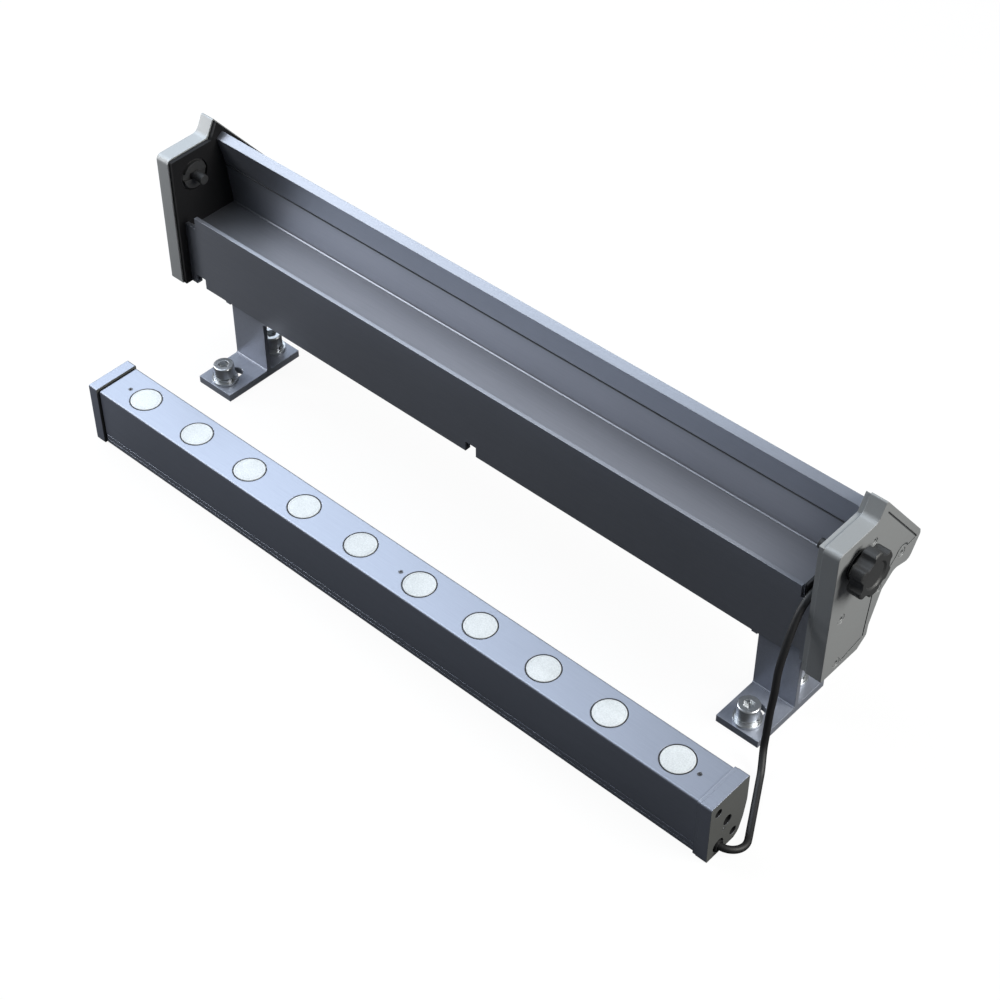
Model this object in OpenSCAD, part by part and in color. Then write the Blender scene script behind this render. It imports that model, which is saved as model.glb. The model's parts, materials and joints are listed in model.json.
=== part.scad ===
// Outdoor wall washer light: a trough housing on two feet, and the
// light bar that hangs in it, taken out and laid in front on its cable.
// Millimetres. +X runs along the housing, +Y to its back, +Z up.
// The origin is on the floor, under the middle of the whole object.

/* [Housing] */
// Length of the housing over both end plates
housing_l = 501; // [490:1:700]
// Thickness of an end plate
plate_t = 10; // [8:0.5:14]
// Depth of an end plate, front to back
plate_d = 78; // [74:1:90]
// Height of an end plate, from its foot to its peak
plate_h = 103.5; // [98:0.5:120]
// Height of the end plates above the floor
plate_lift = 49; // [44:1:70]
// Thickness of the seal under each end plate
seal_t = 3; // [2:0.1:4]
// Distance that the profile stays inside the edge of the plates
plate_rim = 3.2; // [2.5:0.1:4]
// Wall of the housing profile
wall_t = 2.5; // [2:0.1:3]
// Height of the trough floor above the foot of the plates
trough_h = 40.5; // [36:0.5:46]
// Height of the front lip above the trough floor
lip_h = 12.5; // [11:0.5:14]
// Distance of the front wall behind the front of the plates
wall_y = 5.5; // [4:0.5:7]

/* [Light bar] */
// Distance that each coupling stands out of its plate, towards the bar
coupling_out = 4; // [3.5:0.1:5]
// Width of the light bar
bar_w = 31; // [29:0.5:34]
// Height of the light bar
bar_h = 42.5; // [38:0.5:46]
// Number of lenses
lens_n = 10; // [4:1:10]
// Distance from lens to lens
lens_pitch = 45; // [40:0.5:46]
// Diameter of a lens
lens_d = 18.4; // [14:0.2:22]
// Distance of the bar in front of the housing, as it lies
bar_gap = 67; // [50:1:120]
// Shift of the bar to the right, as it lies
bar_shift = 21; // [0:1:22]

/* [Feet] */
// Middle of the left foot, from the left end of the housing
left_foot_in = 56.5; // [33:0.5:120]
// Middle of the right foot, from the right end of the housing
right_foot_in = 33.5; // [33:0.5:120]
// Width of a foot
foot_w = 28; // [24:1:30]
// Depth of the base of a foot
foot_d = 59; // [56:1:70]
// Thickness of the base of a foot
foot_t = 5; // [4:0.5:6]
// Thickness of the web of a foot
web_t = 3; // [2.5:0.1:4]

/* [Knob] */
// Diameter over the lobes
knob_d = 29; // [26:0.5:34]
// Number of lobes
knob_lobes = 6; // [5:1:8]
// Distance that the knob stands out of the end plate
knob_out = 12; // [11:0.5:16]

/* [Cable] */
// Diameter of the cable
cable_d = 4.2; // [4:0.1:4.4]

/* [Hidden] */
$fn = 48;

// Overrun of every cut
over = 1;
// Gap between pieces that seat on each other
seat = 0.2;
// Radial play of what turns
play = 0.05;
// Steps along one rounded corner
corner_steps = 5;

// Outline of an end plate, as shares of its depth and height
plate_shares = [[0, 0], [0, 0.888], [0.41, 0.893], [0.487, 1], [0.994, 0.534],
    [1, 0.505], [0.904, 0.369], [0.731, 0.403], [0.609, 0.325], [0.513, 0.126],
    [0.506, 0.055], [0.41, 0]];
// Corner radii of an end plate, as shares of its depth
plate_corner_shares = [0.015, 0.045, 0.06, 0.012, 0.02, 0.02, 0.06, 0.08, 0, 0.05,
    0.03, 0.02];
plate_raw = [for (s = plate_shares) [s[0] * plate_d, plate_lift + s[1] * plate_h]];
rim_raw = inset(plate_raw, plate_rim);

// Housing profile
floor_z = plate_lift + trough_h;
lip_z = floor_z + lip_h;
skirt_t = 4;
skirt_lift = 1;
under_lift = 8;
skirt_z = plate_lift + skirt_lift;
under_z = plate_lift + under_lift;
back_share = 0.583;
back_y = back_share * plate_d;
seam_shares = [0.538, 0.67];
seam_y = seam_shares[0] * plate_d;
seam_z = plate_lift + seam_shares[1] * plate_h;
ridge_shares = [0.472, 0.879];
ridge_y = ridge_shares[0] * plate_d;
ridge_z = plate_lift + ridge_shares[1] * plate_h;
ridge_share = 0.083;
rear_under_share = 0.42;
rear_under_y = rear_under_share * plate_d;
seam_t = 0.8;
profile_l = housing_l - 2 * (plate_t + seal_t);
inner_x = profile_l / 2;

// Notches of the front wall
step_w = 9;
step_h = 8;
notch_w = 8;
notch_in = 9;
notch_x = inner_x - notch_in;
slit_w = 1.1;
slit_h = 4;
slit_in = 1.4;
slit_lift = 2.2;

// End plate screws: places as shares of the plate
screw_shares = [[0.789, 0.485], [0.552, 0.36], [0.135, 0.39], [0.16, 0.056]];
screw_places = [for (s = screw_shares) [s[0] * plate_d, plate_lift + s[1] * plate_h]];
screw_d = 3;
screw_head_d = 5.5;
screw_head_t = 3;
screw_key = 2.5;
screw_key_t = 2;
screw_l = 22;
port_d = 6;
port_bore = 2.6;
groove_w = 0.6;
groove_t = 0.5;
groove_in = 4.2;
island_r = 5.2;

// Tilt pivot: its place as shares of the plate
pivot_shares = [0.218, 0.728];
pivot_y = pivot_shares[0] * plate_d;
pivot_z = plate_lift + pivot_shares[1] * plate_h;
stud_d = 6;
journal_d = 13;
disc_d = 20;
disc_t = 1.3;
disc_gap = 0.3;
hub_d = 17.6;
hub_t = coupling_out - disc_gap - disc_t;
hub_slot = 4.4;
slot_t = 1.8;
slot_tilt = 80;
stud_out = 8;
stop_d = 4.2;
stop_place = [15, 4.6];
stop_t = 4;
stop_sunk = 0.6;

// Knob
knob_stand = 3.5;
knob_hub_d = 15;
knob_valley = 3.2;
knob_dish_d = 17;
knob_dish_t = 1;
knob_edge = 1.6;
knob_steps = 84;
washer_d = 18;
washer_t = 1;

// Feet
foot_front = 21;
web_y = 11;
flange_t = 4;
flange_d = 22;
left_foot_x = left_foot_in - housing_l / 2;
right_foot_x = housing_l / 2 - right_foot_in;
saddle_x = 36;
saddle_y = 16.5;
saddle_d = 16.5;
saddle_drop = 6;
saddle_ear = 7.5;
saddle_gap = 0.3;
slot_w = 9;
front_slot = [-18.5, 1.5];
rear_slot = [18.5, 34.5];
anchor_d = 8;
anchor_head_d = 13;
anchor_head_t = 8;
anchor_key = 6;
anchor_key_t = 4;
flat_d = 16.5;
flat_t = 1.6;
spring_d = 14;
spring_t = 2;
spring_cut = 1.2;
front_anchor_y = -12;
rear_anchor_y = 28.5;
clamp_d = 5;
clamp_head_d = 8.5;
clamp_head_t = 5;
clamp_key = 4;
clamp_key_t = 2.5;
clamp_in = 7.76;
clamp_y = rear_under_y - clamp_in;
nut_d = 9.2;
nut_t = 4;
bead_r = 0.8;

// Driver, inside the closed chamber
driver_l = 150;
driver_front = 3;
driver_rear = 1.76;
driver_head = 7.2;
driver_lid = 2;
driver_ear = 8;
driver_ear_t = 2;
driver_x = -20;
driver_y = wall_y + wall_t + driver_front;
driver_w = rear_under_y - driver_y - driver_rear;
driver_h = trough_h - under_lift - 2 * wall_t - driver_head - seat;

// Supply gland, under the housing, between the screw port and the rear wall
gland_gap = 11;
gland_clear = 0.64;
port_end = screw_places[3][0] + port_d / 2;
gland_hex = rear_under_y - port_end - 2 * gland_clear;
gland_neck = 0.75 * gland_hex;
gland_dome_d = 0.875 * gland_hex;
gland_x = driver_x - driver_l / 2 - driver_ear - gland_neck / 2 - gland_gap;
gland_y = port_end + gland_clear + gland_hex / 2;
gland_bore = 6.4;
gland_hex_t = 6;
gland_dome_t = 8;
gland_neck_t = 6;
gland_flute_n = 12;
gland_flute_d = 2;

// Light bar
bar_front = -bar_gap - bar_w;
bar_l = housing_l - 2 * (plate_t + coupling_out);
bar_left = bar_shift - bar_l / 2;
bar_right = bar_shift + bar_l / 2;
bar_shares = [[0, 0], [0, 1], [1, 1], [1, 0.55], [0.935, 0.27], [0.835, 0.055],
    [0.72, 0]];
bar_corner_shares = [0.03, 0.035, 0.035, 0.5, 0.5, 0.25, 0.05];
bar_raw = [for (s = bar_shares) [bar_front + s[0] * bar_w, s[1] * bar_h]];
cap_t = 7;
bar_seal_t = 2;
cap_over = 0.9;
seal_in = 1.6;
bar_wall = 2.2;
cover_h = 3.4;
cover_gap = 0.6;
cover_tongue = 5;
line_up = 2.6;
lens_t = 2.6;
lens_proud = 0.4;
lens_hollow_d = 9;
lens_hollow_t = 1.3;
ring_w = 0.8;
ring_t = 1.6;
lens_y_share = 0.484;
lens_y = bar_front + lens_y_share * bar_w;
lens_x = bar_shift + 0.7;
board_w = 21;
board_t = 1.6;
board_in = 6;
chip = 5;
chip_t = 0.8;
mark_gap = 14;
mark_d = 2.6;
mark_bore = 1.4;
mark_t = 1.2;
socket_y = 15;
socket_drop = 21;
socket_z = bar_h - socket_drop;
socket_d = 6.4;
socket_t = 6.4;
bore_d = 5.2;
bore_t = 4.6;
bore_places = [[6.4, 7.8], [21, 35.4]];
bore_screw_d = 4.8;
bore_screw_t = 2;
bore_key = 2.5;
bore_shank = 2.4;
plug_d = 2.2;
plug_t = 1;
plug_y = 12.5;
plug_drop = 26;
exit_y = 9;
exit_z = 6.5;
pocket_d = 8.4;
pocket_t = 5.6;
cable_in = 4.5;
gland_play = 0.3;
gland_out = 1;

// Cable, from the right cap of the bar over the step into the trough
grommet_x = 5;
grommet_z = 8.5;
grommet_d = 9;
grommet_in = 5;
grommet_neck_d = 7.4;
cable_sides = 10;
cable_steps = 2;
route_mm = [[253, -89, 6.5], [255.8, -89, 6.5], [259.1, -88.79, 6.4],
    [262.18, -87.64, 6.1], [264.71, -85.52, 5.65], [266.38, -82.68, 5.1],
    [267, -79.45, 4.55], [266.5, -76.2, 4.05], [265.08, -73.22, 3.55], [262.75, -69.02, 3],
    [260.31, -64.66, 2.6], [257.79, -60.11, 2.35], [255.16, -55.39, 2.3],
    [252.44, -50.5, 2.3], [249.62, -45.43, 2.35], [246.7, -40.19, 2.7],
    [243.68, -34.77, 4.3], [238.6, -27, 11.5], [237.2, -24, 21], [236.4, -21.9, 34],
    [236, -19.3, 48], [234.8, -16.5, 61], [234.5, -12.5, 73], [234, -7.5, 83.5],
    [233.3, -1, 92], [233, 6.5, 96.8], [232.5, 15, 98], [232.5, 25, 98], [232.5, 39, 98]];
// Sizes that the route was drawn for
route_l = 501;
route_right = 257.5;
route_front = -98;
// Share of the bar's place that a point of the route takes over
function follow(i) = i < 9 ? 1 : i > 19 ? 0 : (20 - i) / 12;
route = [for (i = [0 : len(route_mm) - 1]) route_mm[i] + [follow(i) * (bar_right - route_right)
    + (1 - follow(i)) * (housing_l - route_l) / 2, follow(i) * (bar_front - route_front), 0]];

// Middle of the whole object over the floor
bolt_head_d = 20;
bolt_head_t = 2.5;
bolt_key = 4;
bolt_key_t = 1.6;
centre_x = (knob_out - bolt_head_t - seat) / 2;
centre_y = (plate_d + bar_front) / 2;

// Unit vector along a to b
function along(a, b) = (b - a) / norm(b - a);
// Left normal of the run from a to b
function left_of(a, b) = let (u = along(a, b)) [-u[1], u[0]];
// Meeting point of two lines, each given by a point and a direction
function meet(p, u, q, v) =
    let (w = q - p, c = u[0] * v[1] - u[1] * v[0])
    p + u * ((w[0] * v[1] - w[1] * v[0]) / c);
// Outline drawn in by d: its points run clockwise
function inset(pts, d) =
    let (n = len(pts))
    [for (i = [0 : n - 1])
        let (a = pts[(i + n - 1) % n], b = pts[i], c = pts[(i + 1) % n],
            na = left_of(a, b), nb = left_of(b, c))
        meet(b - na * d, along(a, b), b - nb * d, along(b, c))];
// One corner at b between a and c, rounded with radius r
function corner(a, b, c, r) =
    r <= 0 ? [b] :
    let (u = along(b, a), v = along(b, c), half = acos(u * v) / 2,
        reach = min(r / tan(half), min(norm(a - b), norm(c - b)) * 0.45),
        rr = reach * tan(half), mid = along([0, 0], u + v),
        m = b + mid * (rr / sin(half)),
        p = b + u * reach, q = b + v * reach,
        a0 = atan2(p[1] - m[1], p[0] - m[0]),
        turn = atan2(q[1] - m[1], q[0] - m[0]) - a0,
        sweep = turn > 180 ? turn - 360 : turn < -180 ? turn + 360 : turn)
    [for (k = [0 : corner_steps])
        let (t = a0 + sweep * k / corner_steps) m + rr * [cos(t), sin(t)]];
// Outline with every corner rounded
function rounded(pts, radii) =
    let (n = len(pts))
    [for (i = [0 : n - 1])
        each corner(pts[(i + n - 1) % n], pts[i], pts[(i + 1) % n], radii[i])];
// Line of width w along open points
function band(pts, w) =
    let (n = len(pts),
        side = [for (i = [0 : n - 1])
            i == 0 ? left_of(pts[0], pts[1]) :
            i == n - 1 ? left_of(pts[n - 2], pts[n - 1]) :
            let (p = left_of(pts[i - 1], pts[i]), q = left_of(pts[i], pts[i + 1]))
            (p + q) / (1 + p * q)])
    concat([for (i = [0 : n - 1]) pts[i] + side[i] * w / 2],
        [for (i = [n - 1 : -1 : 0]) pts[i] - side[i] * w / 2]);
// Points of an arc
function arc(c, r, a0, a1, n) =
    [for (k = [0 : n]) let (t = a0 + (a1 - a0) * k / n) c + r * [cos(t), sin(t)]];
// Point a share t of the way from a to b
function between(a, b, t) = a + (b - a) * t;

// Everything is drawn with the housing in the middle, then moved to the origin
module placed() translate([-centre_x, -centre_y, 0]) children();
// An outline across the housing, drawn out along it from x
module run_x(x, l) translate([x, 0, 0]) rotate([90, 0, 90]) linear_extrude(l) children();
// A rod along X
module rod_x(x, y, z, d, l) translate([x, y, z]) rotate([0, 90, 0]) cylinder(d = d, h = l);
// The same rod with six sides
module hex_x(x, y, z, d, l)
    translate([x, y, z]) rotate([0, 90, 0]) cylinder(d = d / cos(30), h = l, $fn = 6);

// Outline of an end plate
module plate_outline()
    polygon(rounded(plate_raw, [for (s = plate_corner_shares) s * plate_d]));

// Outline of the housing profile under the trough
lower_raw = [[wall_y, under_z], [wall_y, floor_z], [back_y, floor_z],
    [back_y + wall_t, rim_raw[7][1]], rim_raw[7], rim_raw[8], rim_raw[9],
    [rim_raw[10][0], under_z + wall_t], [rear_under_y, under_z]];
neck_radii = [0, 0, 0, 0, 0, plate_d * 0.2, plate_d * 0.05, 0, 0];
module lower_outline() {
    difference() {
        polygon(rounded(lower_raw, neck_radii));
        polygon(rounded(inset(lower_raw, wall_t), neck_radii));
    }
}
// Front wall, its lip above the trough and its skirt below
module front_outline() {
    translate([wall_y, under_z]) square([wall_t, lip_z - under_z]);
    difference() {
        translate([wall_y, skirt_z]) square([skirt_t, under_z - skirt_z + seat]);
        translate([wall_y + slit_in, skirt_z + slit_lift]) square([slit_w, slit_h]);
    }
}
// Back wall up to the seam
module back_outline()
    polygon([[back_y, floor_z - wall_t], [seam_y, seam_z], [seam_y + wall_t, seam_z],
        [back_y + wall_t, floor_z]]);

// Lower housing profile: trough, driver chamber, skirt and screw ports
module housing_base() {
    color("slategray") placed() difference() {
        run_x(-inner_x, profile_l) {
            lower_outline();
            front_outline();
            back_outline();
            difference() {
                union() {
                    for (i = [1 : 3]) translate(screw_places[i]) circle(d = port_d);
                }
                translate([0, floor_z]) square([back_y, lip_h]);
                square([wall_y, floor_z]);
            }
        }
        for (i = [1 : 3]) {
            rod_x(-inner_x - over, screw_places[i][0], screw_places[i][1], port_bore,
                profile_l + 2 * over);
        }
        // Steps at both ends of the lip
        for (s = [-1, 1]) translate([s > 0 ? inner_x - step_w : -inner_x - over,
            wall_y - over, lip_z - step_h])
            cube([step_w + over, wall_t + 2 * over, step_h + over]);
        // Notches of the skirt
        for (x = [-notch_x, 0, notch_x]) translate([x - notch_w / 2, wall_y - over,
            skirt_z - over])
            cube([notch_w, skirt_t + 2 * over, under_z - skirt_z + over]);
        // Hole of the cable grommet
        translate([inner_x - grommet_x, seam_y - over, floor_z + grommet_z])
            rotate([-90, 0, 0]) cylinder(d = grommet_neck_d + 2 * play,
                h = back_y - seam_y + wall_t + 2 * over);
        // Hole of the supply gland, and of the two clamp screws
        translate([gland_x, gland_y, under_z - over])
            cylinder(d = gland_neck + 2 * play, h = wall_t + 2 * over);
        for (x = [left_foot_x, right_foot_x]) translate([x, clamp_y, under_z - over])
            cylinder(d = clamp_d + 2 * play, h = wall_t + 2 * over);
    }
}

// Outline of the hollow visor behind the trough
visor_raw = [[seam_y, seam_z + seam_t], [ridge_y, ridge_z],
    between(rim_raw[3], rim_raw[4], ridge_share), rim_raw[4], rim_raw[5], rim_raw[6],
    rim_raw[7] + [seat, seat], [back_y + wall_t + seat, rim_raw[7][1] + seat],
    [seam_y + wall_t + seat, seam_z + seam_t]];
// The same outline with one corner for the two at the tip of the bulge
hollow_raw = [visor_raw[0], visor_raw[1], visor_raw[2],
    meet(visor_raw[2], along(visor_raw[2], visor_raw[3]),
        visor_raw[5], along(visor_raw[5], visor_raw[4])),
    visor_raw[5], visor_raw[6], visor_raw[7], visor_raw[8]];
module rear_visor() {
    color("lightsteelblue") placed() difference() {
        run_x(-inner_x, profile_l) {
            difference() {
                polygon(visor_raw);
                polygon(inset(hollow_raw, wall_t - seat));
            }
            intersection() {
                polygon(visor_raw);
                translate(screw_places[0]) circle(d = port_d + wall_t);
            }
        }
        rod_x(-inner_x - over, screw_places[0][0], screw_places[0][1], port_bore,
            profile_l + 2 * over);
    }
}

// Contour line on the outside of an end plate: it follows the back edge and
// steps round the screws
line_raw = inset(plate_raw, groove_in);
line_points = concat([between(line_raw[3], line_raw[4], 0.04), line_raw[4], line_raw[5]],
    arc(screw_places[0], island_r, 20, 165, 6),
    arc(screw_places[1], island_r, 62, 150, 5),
    [line_raw[9], line_raw[10], between(line_raw[11], line_raw[0], 0.55)]);

// Right end plate; the left one is its mirror image
module end_plate(bore) {
    x = housing_l / 2 - plate_t;
    difference() {
        run_x(x, plate_t) plate_outline();
        run_x(housing_l / 2 - groove_t, groove_t + over) polygon(band(line_points, groove_w));
        for (p = screw_places) {
            rod_x(x - over, p[0], p[1], screw_d + 2 * play, plate_t + 2 * over);
            rod_x(housing_l / 2 - screw_head_t - seat, p[0], p[1], screw_head_d + 2 * seat,
                screw_head_t + seat + over);
        }
        rod_x(x - over, pivot_y, pivot_z, bore + 2 * play, plate_t + 2 * over);
        rod_x(housing_l / 2 - stop_t, pivot_y + stop_place[0], pivot_z + stop_place[1],
            stop_d, stop_t + over);
    }
}
module right_end_plate() color("silver") placed() end_plate(journal_d);
module left_end_plate() color("silver") placed() mirror([1, 0, 0]) end_plate(journal_d);

// Seal between an end plate and the housing profile
module end_seal() {
    difference() {
        run_x(inner_x, seal_t) polygon(inset(plate_raw, plate_rim * 0.25));
        rod_x(inner_x - over, pivot_y, pivot_z, disc_d + 2 * disc_gap, seal_t + 2 * over);
        for (p = screw_places) rod_x(inner_x - over, p[0], p[1], screw_d + 2 * play,
            seal_t + 2 * over);
    }
}
module right_end_seal() color("dimgray") placed() end_seal();
module left_end_seal() color("dimgray") placed() mirror([1, 0, 0]) end_seal();

// Socket screws of an end plate
module plate_screws() {
    top = housing_l / 2 - seat;
    for (p = screw_places) difference() {
        union() {
            rod_x(top - screw_head_t, p[0], p[1], screw_head_d, screw_head_t);
            rod_x(top - screw_l, p[0], p[1], port_bore, screw_l - screw_head_t + seat);
        }
        hex_x(top - screw_key_t, p[0], p[1], screw_key, screw_key_t + over);
    }
    difference() {
        rod_x(housing_l / 2 - stop_t + play, pivot_y + stop_place[0],
            pivot_z + stop_place[1], stop_d - 2 * play, stop_t - stop_sunk);
        hex_x(housing_l / 2 - screw_key_t, pivot_y + stop_place[0],
            pivot_z + stop_place[1], screw_key, screw_key_t + over);
    }
}
module right_plate_screws() color("gray") placed() plate_screws();
module left_plate_screws() color("gray") placed() mirror([1, 0, 0]) plate_screws();

// Coupling that turns in an end plate and carries one end of the bar
module coupling() {
    face = housing_l / 2 - plate_t - disc_gap;
    out = face - disc_t - hub_t;
    difference() {
        union() {
            rod_x(face - seat, pivot_y, pivot_z, journal_d, plate_t + disc_gap);
            rod_x(face - disc_t, pivot_y, pivot_z, disc_d, disc_t);
            rod_x(out, pivot_y, pivot_z, hub_d, hub_t + seat);
        }
        translate([out - over, pivot_y, pivot_z]) rotate([slot_tilt, 0, 0])
            translate([0, -hub_slot / 2, -hub_d])
            cube([slot_t + over, hub_slot, 2 * hub_d]);
        rod_x(out - over, pivot_y, pivot_z, stud_d + 2 * play, plate_t + 2 * coupling_out);
    }
}
module right_coupling() color("dimgray") placed() coupling();
module left_coupling() color("dimgray") placed() mirror([1, 0, 0]) coupling();

// Left pivot bolt: flat head outside, threaded end inside
stud_in = housing_l / 2 - plate_t - coupling_out - stud_out;
module left_pivot_bolt() {
    color("dimgray") placed() mirror([1, 0, 0]) difference() {
        union() {
            rod_x(housing_l / 2 + seat, pivot_y, pivot_z, bolt_head_d, bolt_head_t);
            rod_x(stud_in, pivot_y, pivot_z, stud_d, housing_l / 2 + 2 * seat - stud_in);
        }
        hex_x(housing_l / 2 + seat + bolt_head_t - bolt_key_t, pivot_y, pivot_z, bolt_key,
            bolt_key_t + over);
    }
}

// Stud of the knob, through the plate and the right coupling
module knob_stud() {
    color("dimgray") placed()
        rod_x(stud_in, pivot_y, pivot_z, stud_d,
            housing_l / 2 + knob_stand + knob_reach - stud_in);
}
knob_reach = 4;

// Plain washer under the knob
module knob_washer() {
    color("dimgray") placed() difference() {
        rod_x(housing_l / 2 + seat, pivot_y, pivot_z, washer_d, washer_t);
        rod_x(housing_l / 2 - over, pivot_y, pivot_z, stud_d + 2 * seat, washer_t + 2 * over);
    }
}

// Lobed knob: a lobed prism kept inside a turned form with round edges
function lobe_r(t) =
    let (wave = cos(knob_lobes * t), flat = wave / sqrt(0.12 + wave * wave))
    knob_d / 2 - knob_valley * (1 - flat) / 2;
lobe_points = [for (k = [0 : knob_steps - 1])
    let (t = 360 * k / knob_steps) lobe_r(t) * [cos(t), sin(t)]];
knob_base = washer_t + 2 * seat;
knob_body = knob_out - knob_stand;
knob_profile = concat([[0, knob_base], [knob_hub_d / 2, knob_base],
    [knob_hub_d / 2 - knob_edge / 2, knob_stand], [knob_d / 2 - knob_edge, knob_stand]],
    arc([knob_d / 2 - knob_edge, knob_stand + knob_edge], knob_edge, -90, 0, 4),
    arc([knob_d / 2 - knob_edge, knob_out - knob_edge], knob_edge, 0, 90, 4),
    [[knob_dish_d / 2, knob_out], [knob_dish_d / 2 - knob_dish_t, knob_out - knob_dish_t],
    [0, knob_out - knob_dish_t]]);
module knob() {
    color("dimgray") placed() translate([housing_l / 2, pivot_y, pivot_z]) rotate([0, 90, 0])
        difference() {
            intersection() {
                rotate_extrude() polygon(knob_profile);
                linear_extrude(knob_out + over) polygon(lobe_points);
            }
            translate([0, 0, -over])
                cylinder(d = stud_d + 2 * play, h = knob_stand + knob_reach + over + play);
        }
}

// Foot: base, web and top flange of one profile, cut to foot_w
module foot(x) {
    top = under_z - saddle_drop - seat;
    difference() {
        union() {
            translate([x - foot_w / 2, -foot_front, 0]) cube([foot_w, foot_d, foot_t]);
            translate([x - foot_w / 2, web_y, 0]) cube([foot_w, web_t, top]);
            translate([x - foot_w / 2, web_y, top - flange_t])
                cube([foot_w, flange_d, flange_t]);
            for (y = [web_y, web_y + web_t]) translate([x - foot_w / 2, y, foot_t])
                rotate([0, 90, 0]) cylinder(r = bead_r, h = foot_w, $fn = 16);
        }
        for (s = [front_slot, rear_slot]) translate([x, 0, -over])
            linear_extrude(foot_t + 2 * over) slot_outline(s);
        translate([x, clamp_y, top - flange_t - over])
            cylinder(d = clamp_d + 2 * play, h = flange_t + 2 * over);
    }
}
// Slot along Y between its two ends
module slot_outline(ends) {
    translate([-slot_w / 2, ends[0] + slot_w / 2])
        square([slot_w, ends[1] - ends[0] - slot_w]);
    for (y = [ends[0] + slot_w / 2, ends[1] - slot_w / 2]) translate([0, y])
        circle(d = slot_w);
}
module left_foot() color("slategray") placed() foot(left_foot_x);
module right_foot() color("slategray") placed() foot(right_foot_x);

// Saddle between a foot and the housing, with an ear on both sides of the foot
module saddle(x) {
    z0 = under_z - saddle_drop;
    y0 = wall_y + skirt_t + saddle_gap;
    w = foot_w / 2 + saddle_gap;
    difference() {
        union() {
            translate([x - saddle_x / 2, saddle_y, z0])
                cube([saddle_x, saddle_d, saddle_drop - seat]);
            for (s = [-1, 1]) translate([x + (s > 0 ? w : -saddle_x / 2), y0, z0 - saddle_ear])
                cube([saddle_x / 2 - w, saddle_y + saddle_d - y0, saddle_ear + seat]);
        }
        translate([x, clamp_y, z0 - over])
            cylinder(d = clamp_d + 2 * play, h = saddle_drop + 2 * over);
    }
}
module left_saddle() color("slategray") placed() saddle(left_foot_x);
module right_saddle() color("slategray") placed() saddle(right_foot_x);

// Clamp screw of a foot, with its nut inside the chamber
module clamp_screw(x) {
    z = under_z - saddle_drop - seat - flange_t - seat;
    translate([x, clamp_y, z]) difference() {
        union() {
            translate([0, 0, -clamp_head_t]) cylinder(d = clamp_head_d, h = clamp_head_t);
            cylinder(d = clamp_d, h = saddle_drop + flange_t + wall_t + nut_t + 4 * seat);
            translate([0, 0, saddle_drop + flange_t + wall_t + 3 * seat])
                cylinder(d = nut_d, h = nut_t, $fn = 6);
        }
        translate([0, 0, -clamp_head_t - over])
            cylinder(d = clamp_key / cos(30), h = clamp_key_t + over, $fn = 6);
    }
}
module left_clamp_screw() color("silver") placed() clamp_screw(left_foot_x);
module right_clamp_screw() color("silver") placed() clamp_screw(right_foot_x);

// Anchor screws in the slots of a foot
module anchor_screws(x) {
    z = foot_t + flat_t + spring_t + 3 * seat;
    for (y = [front_anchor_y, rear_anchor_y]) translate([x, y, 0]) difference() {
        union() {
            translate([0, 0, seat]) cylinder(d = anchor_d, h = z);
            translate([0, 0, z]) cylinder(d = anchor_head_d, h = anchor_head_t - anchor_round);
            translate([0, 0, z + anchor_head_t - anchor_round])
                cylinder(d1 = anchor_head_d, d2 = anchor_head_d - 2 * anchor_round,
                    h = anchor_round);
        }
        translate([0, 0, z + anchor_head_t - anchor_key_t])
            cylinder(d = anchor_key / cos(30), h = anchor_key_t + over, $fn = 6);
    }
}
anchor_round = 0.6;
module left_anchor_screws() color("gainsboro") placed() anchor_screws(left_foot_x);
module right_anchor_screws() color("gainsboro") placed() anchor_screws(right_foot_x);

// Flat washer and split spring washer under each anchor screw
module anchor_washers(x) {
    bore = anchor_d + 2 * seat;
    for (y = [front_anchor_y, rear_anchor_y]) translate([x, y, foot_t + seat]) {
        difference() {
            cylinder(d = flat_d, h = flat_t);
            translate([0, 0, -over]) cylinder(d = bore, h = flat_t + 2 * over);
        }
        translate([0, 0, flat_t]) difference() {
            cylinder(d = spring_d, h = spring_t + seat);
            translate([0, 0, -over]) cylinder(d = bore, h = spring_t + 2 * over);
            translate([0, -spring_cut / 2, seat]) cube([spring_d, spring_cut, spring_t + over]);
        }
    }
}
module left_anchor_washers() color("silver") placed() anchor_washers(left_foot_x);
module right_anchor_washers() color("silver") placed() anchor_washers(right_foot_x);

// Driver on the chamber's floor
module driver() {
    z = under_z + wall_t + seat;
    color("gainsboro") placed() translate([driver_x, driver_y, z]) {
        translate([-driver_l / 2, 0, 0]) cube([driver_l, driver_w, driver_h]);
        for (s = [-1, 1]) {
            translate([s * (driver_l + driver_lid) / 2 - driver_lid / 2, driver_lid / 2, 0])
                cube([driver_lid, driver_w - driver_lid, driver_h - driver_lid]);
            translate([s * (driver_l + driver_ear + driver_lid) / 2 - driver_ear / 2,
                driver_lid, 0])
                cube([driver_ear, driver_w - 2 * driver_lid, driver_ear_t]);
        }
    }
}

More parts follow.
